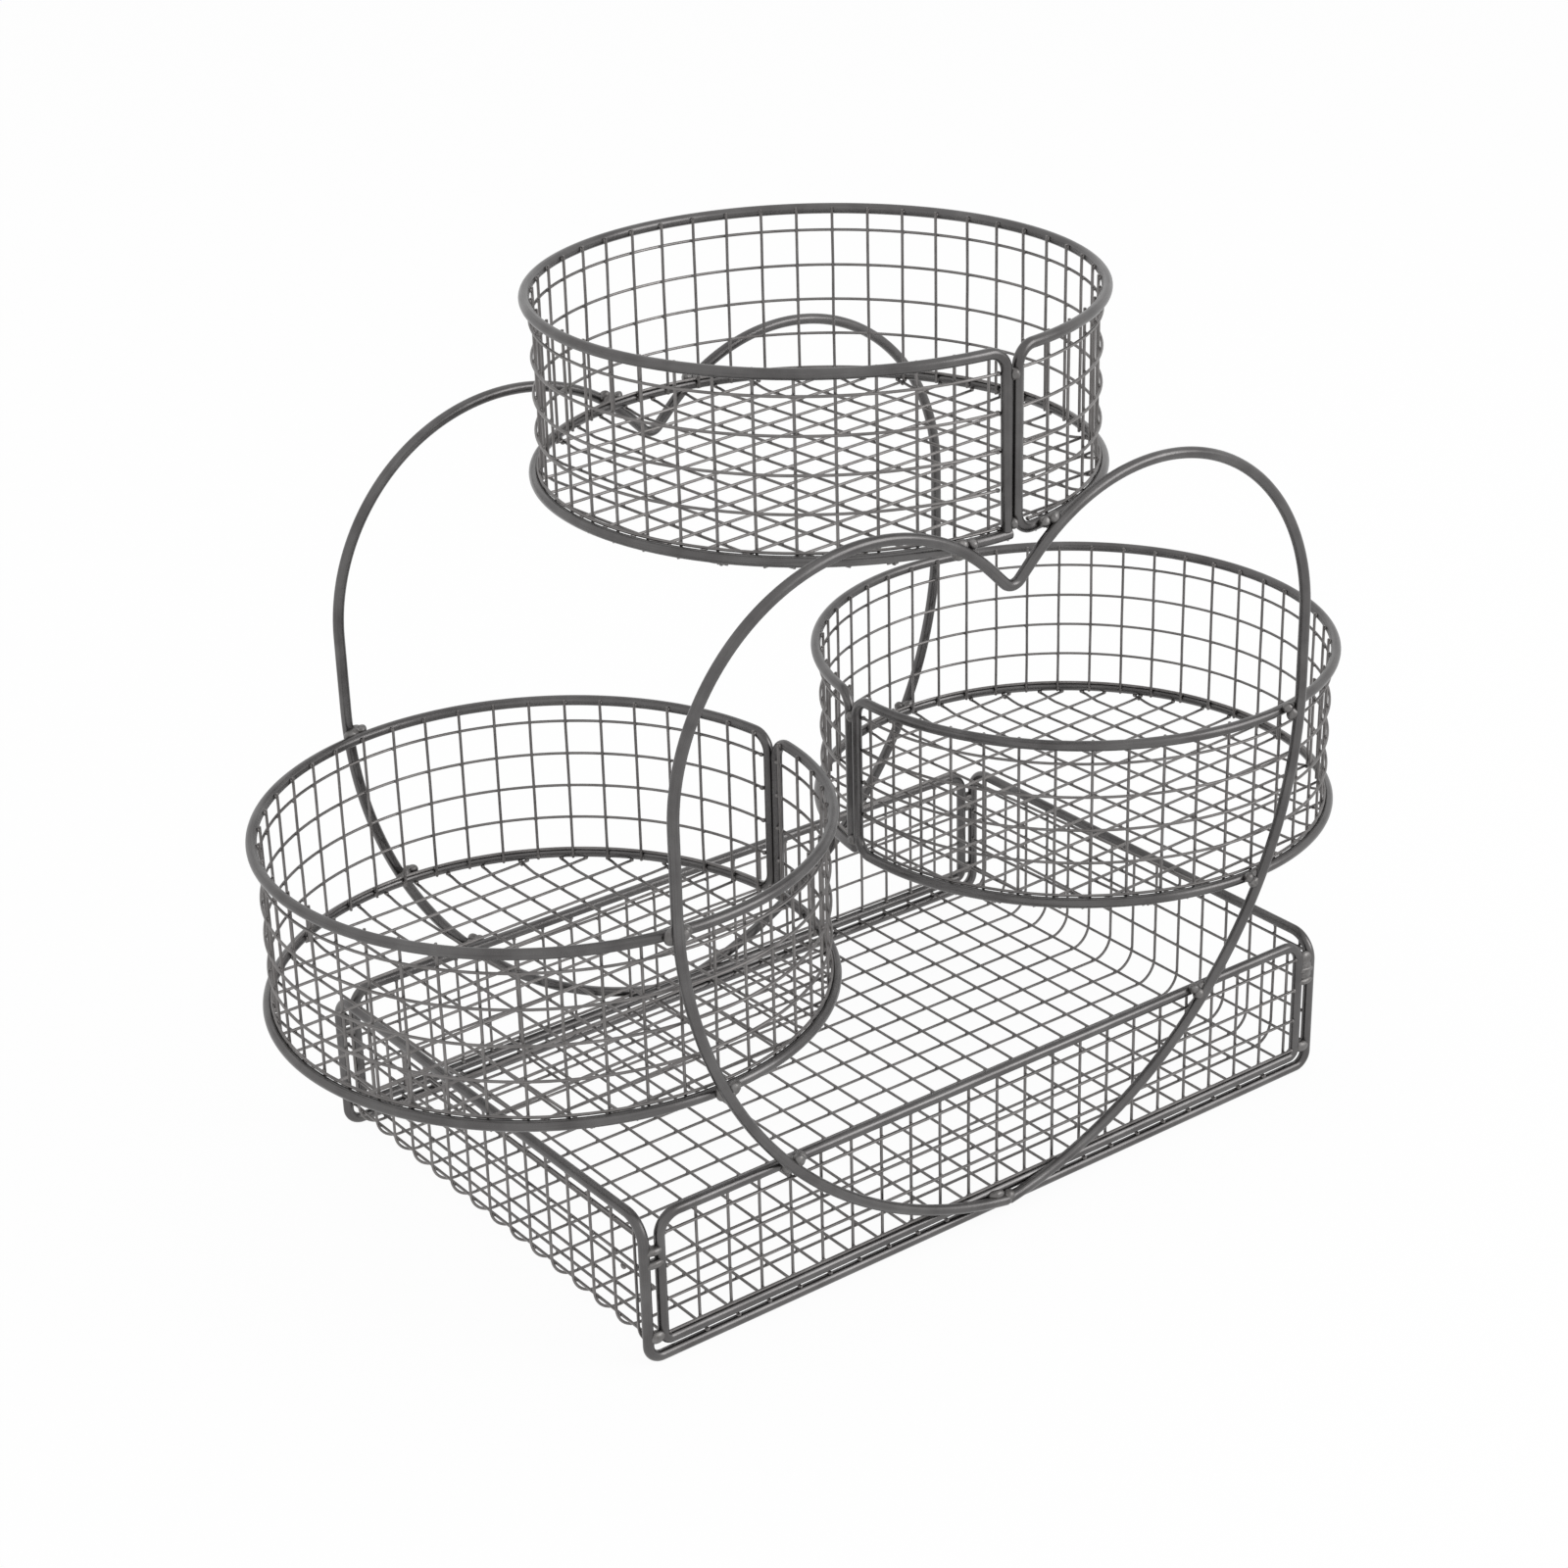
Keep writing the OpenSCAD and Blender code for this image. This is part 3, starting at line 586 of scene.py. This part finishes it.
def hoop_rod(node, side):
    """One half runs from the middle of the notch to the meeting end, and the other is its
    mirror image."""
    x, z = (1, 0, 0), (0, 0, 1)
    y = side * HOOP_Y
    low = arc((0, y, NOTCH_Z), x, z, NOTCH_R, -math.pi / 2, -math.pi / 2 + NOTCH_ANGLE,
              TIGHT_PITCH)
    hump = arc((HUMP_X, y, HUMP_Z), x, z, HUMP_R, math.pi / 2 + NOTCH_ANGLE, 0, 3.0)
    flank = along(low[-1], hump[0])
    straight = along(hump[-1], (HOOP_HALF_W, y, LOW_Z))
    belly = arc((LOW_X, y, LOW_Z), x, z, HOOP_LOW_R, 0, -LOW_END, WIDE_PITCH)
    half = joined(low, flank, hump, straight, belly)
    other = half[::-1] * np.array([-1, 1, 1])
    shape = Shape()
    tube(shape, joined(other, half), HOOP_R, ROD_SIDES)
    piece(shape, node, ROD, HOOP_WELDS_ALL)


def basket_rod(basket):
    """The ring starts at its cut end under the seam, runs round and turns up into the
    first seam rod. The rim runs back round and turns down into the second, whose foot
    leans towards the first."""
    def seam_bend(z, start, end, side):
        run = arc((BASKET_R, 0, z), (0, 1, 0), (0, 0, 1), BASKET_BEND, start, end,
                  TIGHT_PITCH)
        c, s = math.cos(BEND_ANGLE), math.sin(BEND_ANGLE)
        run = run @ np.array([[c, s, 0], [-s, c, 0], [0, 0, 1]])
        return run * np.array([1, side, 1])

    x, y = (1, 0, 0), (0, 1, 0)
    top = BASKET_H - BASKET_BEND
    ring = arc((0, 0, 0), x, y, BASKET_R, 2 * math.pi, BEND_ANGLE, WIDE_PITCH)
    turn_up = seam_bend(BASKET_BEND, 1.5 * math.pi, math.pi, 1)
    turn_in = seam_bend(top, math.pi, math.pi / 2, 1)
    rim = arc((0, 0, BASKET_H), x, y, BASKET_R, BEND_ANGLE, 2 * math.pi - BEND_ANGLE,
              WIDE_PITCH)
    turn_down = seam_bend(top, math.pi / 2, math.pi, -1)
    foot = turn_down[-1] * np.array([1, 1, 0]) + np.array([0, SEAM_LEAN, REACH])
    path = joined(ring, turn_up, along(turn_up[-1], turn_in[0]), turn_in, rim, turn_down,
                  along(turn_down[-1], foot))
    shape = Shape()
    tube(shape, turned(path, basket), FRAME_R, ROD_SIDES)
    piece(shape, basket + "_frame", ROD, HOOP_WELDS_ALL + list(SEAM_WELDS[basket]))


# Mesh wires

def wire_places(half, shift):
    """Places of the mesh's wires between -half and half, one of them at the shift."""
    first, last = math.ceil((-half - shift) / SPACING), math.floor((half - shift) / SPACING)
    return [k * SPACING + shift for k in range(first, last + 1)]


def under_bend(place, straight_half, top_z, bend):
    """Height of the underside of a rod that bends down at the ends of a straight run."""
    past = max(0.0, abs(place) + WIRE_R - straight_half)
    return top_z - bend + math.sqrt((bend - FRAME_R - JOINT_GAP) ** 2 - past**2)


def sway(path, most):
    """The same path with the slight bow and wander of a hand-set wire."""
    p = np.asarray(path, float)
    share = np.linspace(0, 1, len(p))[:, None]
    wander = np.zeros_like(p)
    for k in (1, 2, 3.4):
        way = unit(rng.normal(size=3))
        wander += way * np.sin(share * math.pi * k + rng.uniform(0, 6)) / (1 + k)
    return p + wander * most * np.sin(share * math.pi)


def wire(shape, path, most=0.16):
    """Adds a mesh wire that strays from its path by about so much at most."""
    tube(shape, sway(path, most), WIRE_R, WIRE_SIDES)


def spot(shape, centre, normal, size=1.0):
    """Adds the small flattened weld where two wires cross."""
    n = unit(np.array(normal, float))
    side = unit(np.cross(n, ASKEW))
    wide = WIRE_R * 1.42 * size * rng.uniform(0.85, 1.12)
    tall = WIRE_R * 1.12 * size
    lump(shape, centre, (wide, wide * rng.uniform(0.8, 1.1), tall), (side, np.cross(n, side), n),
         0.09, SMALL_BALL, rng.uniform(0.25, 0.8), 3)


def bed_point(s, y, inward):
    """A place along the bed at a distance from its middle, moved inward from the long
    wires' centre line: across the floor, round the bend and up the end wall."""
    past, sign = abs(s) - BED_FLAT, math.copysign(1, s)
    bend_top = BED_LONG_Z + BED_BEND
    if past <= 0:
        return np.array([s, y, BED_LONG_Z + inward])
    if past < BED_BEND_LEN:
        t = past / BED_BEND
        r = BED_BEND - inward
        return np.array([sign * (BED_FLAT + r * math.sin(t)), y, bend_top - r * math.cos(t)])
    return np.array([sign * (TRAY_L / 2 - inward), y, bend_top + past - BED_BEND_LEN])


def bed_wires():
    top_half = TRAY_W / 2 - TRAY_TOP_BEND
    ys = wire_places(TRAY_W / 2 - SEAT, BED_LONG_SHIFT)
    wall_end = BED_FLAT + BED_BEND_LEN + BED_WALL_LEN - 2 * WIRE_R
    ss = wire_places(wall_end, BED_CROSS_SHIFT)
    long_shape = Shape()
    for y in ys:
        tip = under_bend(y, top_half, TOP_Z, TRAY_TOP_BEND) - BED_LONG_Z - BED_BEND
        floor = along(bed_point(-BED_FLAT, y, 0), bed_point(BED_FLAT, y, 0), WIRE_PITCH)
        bend = np.array([bed_point(BED_FLAT + s, y, 0) for s in np.linspace(0, BED_BEND_LEN, 12)])
        wall = along(bend[-1], bend[-1] + np.array([0, 0, tip]), WIRE_PITCH)
        right = joined(bend, wall)
        left = right[::-1] * np.array([-1, 1, 1])
        wire(long_shape, joined(left, floor, right), most=0.12)
        for sign in (-1, 1):
            spot(long_shape, right[-1] * np.array([sign, 1, 1]), (0, 0, 1), size=1.2)
    piece(long_shape, "tray_bed_long_wires", WIRE)
    cross_shape = Shape()
    for s in ss:
        over = abs(s) < BED_FLAT - FRAME_R
        half = TRAY_W / 2 + REACH if over else TRAY_W / 2 - FRAME_R - JOINT_GAP
        run = along(bed_point(s, -half, STEP), bed_point(s, half, STEP), WIRE_PITCH)
        wire(cross_shape, run, most=0.12)
        inward = bed_point(s, 0, 1) - bed_point(s, 0, 0)
        for y in ys:
            spot(cross_shape, bed_point(s, y, STEP / 2), inward)
        for sign in (-1, 1):
            tip, way = bed_point(s, sign * half, STEP), (0, 1, 0)
            if over:
                tip, way = np.array([s, sign * TRAY_W / 2, FOOT_Z + FRAME_R]), (0, 0, 1)
            spot(cross_shape, tip, way, size=1.25)
    spatter = (-TRAY_L / 2 + STEP / 2, -TRAY_W / 2 + 17.5, FOOT_Z + 39)
    lump(cross_shape, spatter, (1.0, 1.7, 1.1))
    piece(cross_shape, "tray_bed_cross_wires", WIRE)


def panel_wires(side, name):
    inner, outer = side * (TRAY_W / 2 - STEP / 2), side * (TRAY_W / 2 + STEP / 2)
    xs = wire_places(PANEL_HALF - SEAT, PANEL_WIRE_SHIFT * -side)
    zs = np.arange(TOP_Z - PANEL_FIRST_ROW, PANEL_LOW_Z + SEAT, -SPACING)
    low = PANEL_LOW_Z + FRAME_R + JOINT_GAP
    half = PANEL_HALF - FRAME_R - JOINT_GAP
    upright_shape, row_shape = Shape(), Shape()
    for x in xs:
        top = under_bend(x, PANEL_HALF - PANEL_TOP_BEND, TOP_Z, PANEL_TOP_BEND)
        wire(upright_shape, along((x, inner, low), (x, inner, top), WIRE_PITCH))
        for z in (low, top):
            spot(upright_shape, (x, inner, z), (0, 0, 1), size=1.2)
    for z in zs:
        wire(row_shape, along((-half, outer, z), (half, outer, z), WIRE_PITCH))
        for x in xs:
            spot(row_shape, (x, side * TRAY_W / 2, z), (0, 1, 0))
        for sign in (-1, 1):
            spot(row_shape, (sign * half, outer, z), (1, 0, 0), size=1.2)
    piece(upright_shape, name + "_uprights", WIRE)
    piece(row_shape, name + "_rows", WIRE)


def basket_walls(basket):
    first = math.pi - (UPRIGHT_COUNT - 1) * UPRIGHT_STEP / 2
    angles = [first + k * UPRIGHT_STEP for k in range(UPRIGHT_COUNT)]
    zs = [BASKET_H - BASKET_FIRST_ROW - k * SPACING for k in range(ROW_COUNT)]
    upright_shape, row_shape = Shape(), Shape()
    for a in angles:
        out = np.array([math.cos(a), math.sin(a), 0])
        foot = out * UPRIGHT_R - np.array([0, 0, REACH])
        tip = out * UPRIGHT_R + np.array([0, 0, BASKET_H + REACH])
        wire(upright_shape, turned(along(foot, tip, WIRE_PITCH), basket), most=0.3)
        for z in (0, BASKET_H):
            on_rod = out * (BASKET_R - FRAME_R) + np.array([0, 0, z])
            spot(upright_shape, turned(on_rod, basket)[0], facing(out, basket), size=1.15)
    for z in zs:
        start = LOW_ROW_END if z < BASKET_BEND + SEAT else ROW_END
        run = arc((0, 0, z), (1, 0, 0), (0, 1, 0), ROW_R, start, 2 * math.pi - ROW_END, 5.0)
        wire(row_shape, turned(run, basket), most=0.2)
        for a in angles:
            out = np.array([math.cos(a), math.sin(a), 0])
            if start < a < 2 * math.pi - ROW_END:
                crossing = out * (ROW_R + UPRIGHT_R) / 2 + np.array([0, 0, z])
                spot(row_shape, turned(crossing, basket)[0], facing(out, basket))
        for tip in (run[0], run[-1]):
            spot(row_shape, turned(tip, basket)[0], (0, 0, 1), size=1.3)
    piece(upright_shape, basket + "_wall_uprights", WIRE)
    piece(row_shape, basket + "_wall_hoops", WIRE)


def basket_floor(basket):
    """The long wires lie against the ring. The cross wires lie under them, and their ends
    rise to the ring."""
    turn = BASKETS[basket][3]
    places = wire_places(FLOOR_REACH - SPACING * 0.25, SPACING / 2)
    layers = (("_floor_long_wires", 0, SEAT), ("_floor_cross_wires", 90, SEAT + STEP))
    for name, extra, drop in layers:
        shape = Shape()
        for y in places:
            half = math.sqrt((BASKET_R - RING_END) ** 2 - y**2)
            xs = along((-half, y, -drop), (half, y, -drop), WIRE_PITCH / 2)
            rise = np.clip((np.abs(xs[:, 0]) - half + RISE_LENGTH + 1) / RISE_LENGTH, 0, 1)
            xs[:, 2] += (drop - RING_SEAT) * rise**2 * (3 - 2 * rise)
            wire(shape, set_down(xs, basket, turn + extra), most=0.2)
            for sign in (-1, 1):
                end = (sign * (half - 0.8), y, -FRAME_R)
                spot(shape, set_down(end, basket, turn + extra)[0], (0, 0, 1), size=1.2)
            if extra:
                for x in places:
                    if math.hypot(x, y) < BASKET_R - 2:
                        crossing = (x, y, -SEAT - STEP / 2)
                        spot(shape, set_down(crossing, basket, turn + extra)[0], (0, 0, 1))
        piece(shape, basket + name, WIRE)


# Weld beads

def bead(shape, centre, radii, rough, glow):
    """Adds a weld bead. The higher its glow, the darker its metal."""
    lump(shape, centre, radii, None, rough, LARGE_BALL, glow)


def corner_beads():
    """Two bars of weld high up at each corner and one low down. At the front right corner
    the upper pair has run together into one block."""
    shape = Shape()
    for x, y, z in CORNER_WELDS:
        out = math.copysign(0.8, y)
        low = z < PAIR_Z - CORNER_BEAD_SPACING
        radii = (4.5, 2.7, 3.1) if low else (5.4, 2.75, 2.2)
        bead(shape, (x, y + out, z), radii, 0.04, 0.35)
    for rise in (0.5, 5.0, 9.0):
        bead(shape, (CORNER_X, -TRAY_W / 2 - 0.5, PAIR_Z + rise), (4.4, 2.7, 3.9), 0.02, 0.35)
    piece(shape, "tray_corner_welds", WELD)


def hoop_beads(node, side):
    """At each place where a hoop meets a rod there is a bead between the two, with lumps
    beside it on the hoop's inner side. Where the hoop's ends meet there are two beads."""
    shape = Shape()
    for x, y, z in HOOP_WELDS:
        for sx in (-1, 1):
            place = np.array([sx * x, side * y, z])
            bead(shape, place, (4.3, 3.0, 4.0), 0.07, 0.9)
            high = z > TOP_RING_Z - ROD_BEAD_R
            way = (-0.8, side * 2.2, 2.7) if high else (-3.5 * sx, side * 2.1, -1.4 * sx)
            run = np.array(way) + rng.uniform(-0.4, 0.4, 3) * (1, 0, 1)
            bead(shape, place + run, (3.2, 2.6, 3.1), 0.07, 0.3 if high else 0.9)
            rise = np.array([-5.6 * sx, side * 1.0, 1.9]) + rng.uniform(-0.5, 0.5, 3) * (1, 0, 1)
            bead(shape, place + rise, (2.6, 2.4, 2.5), 0.08, 1.0)
            bead(shape, place + run + (1.4 * sx, side * 1.1, -1.7), (1.7, 1.2, 1.6), 0.08, 0.1)
    meeting = np.array([0, side * HOOP_Y, HOOP_BOTTOM_Z])
    bead(shape, meeting + (1.2, side * -0.8, 0.9), (3.7, 3.2, 3.6), 0.02, 0.0)
    bead(shape, meeting + (-6.0, side * -1.6, 3.3), (4.4, 2.8, 3.1), 0.09, 1.0)
    piece(shape, node, WELD)


def seam_beads(basket):
    shape = Shape()
    for place in SEAM_WELDS[basket]:
        bead(shape, place, (2.2, 2.3, 2.6), 0.06, 0.8)
    piece(shape, basket + "_seam_welds", WELD)


tray_end_rod()
panel_rod("tray_front_panel_frame", -1)
panel_rod("tray_back_panel_frame", 1)
hoop_rod("front_hoop", -1)
hoop_rod("back_hoop", 1)
bed_wires()
panel_wires(-1, "tray_front_panel")
panel_wires(1, "tray_back_panel")
for name in BASKETS:
    basket_rod(name)
    basket_walls(name)
    basket_floor(name)
    seam_beads(name)
corner_beads()
hoop_beads("front_hoop_welds", -1)
hoop_beads("back_hoop_welds", 1)


# Stage and light

# Share of the floor's white that it gives off by itself, and the world's strength as light
FLOOR_SHINE, WORLD_LIGHT = 0.95, 0.75


def background_rays(tree):
    """1 for the rays that see the background as white: camera, glossy and transmission."""
    seen = tree.nodes.new("ShaderNodeLightPath")
    found = seen.outputs["Is Camera Ray"]
    for kind in ("Is Glossy Ray", "Is Transmission Ray"):
        either = tree.nodes.new("ShaderNodeMath")
        either.operation = "MAXIMUM"
        tree.links.new(found, either.inputs[0])
        tree.links.new(seen.outputs[kind], either.inputs[1])
        found = either.outputs[0]
    return found


def pale_floor():
    """A wide white floor. It shines by itself to the camera and in reflections, and keeps
    a faint shadow."""
    bm = bmesh.new()
    bmesh.ops.create_circle(bm, cap_ends=True, segments=96, radius=9)
    mesh = bpy.data.meshes.new("studio_floor")
    bm.to_mesh(mesh)
    bm.free()
    material = bpy.data.materials.new("studio_floor_white")
    material.use_nodes = True
    tree = material.node_tree
    tree.nodes.clear()
    out = tree.nodes.new("ShaderNodeOutputMaterial")
    mix = tree.nodes.new("ShaderNodeMixShader")
    dull = tree.nodes.new("ShaderNodeBsdfDiffuse")
    dull.inputs["Color"].default_value = (0.9, 0.9, 0.9, 1)
    shine = tree.nodes.new("ShaderNodeEmission")
    share = tree.nodes.new("ShaderNodeMath")
    share.operation = "MULTIPLY"
    share.inputs[1].default_value = FLOOR_SHINE
    tree.links.new(background_rays(tree), share.inputs[0])
    tree.links.new(share.outputs[0], mix.inputs["Fac"])
    tree.links.new(dull.outputs[0], mix.inputs[1])
    tree.links.new(shine.outputs[0], mix.inputs[2])
    tree.links.new(mix.outputs[0], out.inputs["Surface"])
    mesh.materials.append(material)
    floor = bpy.data.objects.new("studio_floor", mesh)
    bpy.context.scene.collection.objects.link(floor)


def studio_world():
    """White to the camera, in reflections and through glass, and a little less as light."""
    world = bpy.data.worlds.new("studio")
    bpy.context.scene.world = world
    world.use_nodes = True
    tree = world.node_tree
    tree.nodes.clear()
    out = tree.nodes.new("ShaderNodeOutputWorld")
    plain = tree.nodes.new("ShaderNodeBackground")
    plain.inputs["Color"].default_value = (1, 1, 1, 1)
    plain.inputs["Strength"].default_value = WORLD_LIGHT
    white = tree.nodes.new("ShaderNodeBackground")
    white.inputs["Color"].default_value = (1, 1, 1, 1)
    mix = tree.nodes.new("ShaderNodeMixShader")
    tree.links.new(background_rays(tree), mix.inputs["Fac"])
    tree.links.new(plain.outputs[0], mix.inputs[1])
    tree.links.new(white.outputs[0], mix.inputs[2])
    tree.links.new(mix.outputs[0], out.inputs["Surface"])


def soft_lamp(name, place, aim, size, power, in_gloss=True):
    data = bpy.data.lights.new(name, "AREA")
    data.shape = "SQUARE"
    data.size = size
    data.energy = power
    lamp = bpy.data.objects.new(name, data)
    lamp.visible_glossy = in_gloss
    lamp.location = place
    lamp.rotation_euler = (Vector(aim) - Vector(place)).to_track_quat("-Z", "Y").to_euler()
    bpy.context.scene.collection.objects.link(lamp)


pale_floor()
studio_world()
soft_lamp("lamp_front_right", (1.5, -1.9, 1.5), (0, 0, 0.15), size=1.5, power=23)
soft_lamp("lamp_over", (0.2, 0.1, 2.6), (0, 0, 0), size=2.4, power=12, in_gloss=False)

scene = bpy.context.scene
scene.view_settings.view_transform = "Standard"
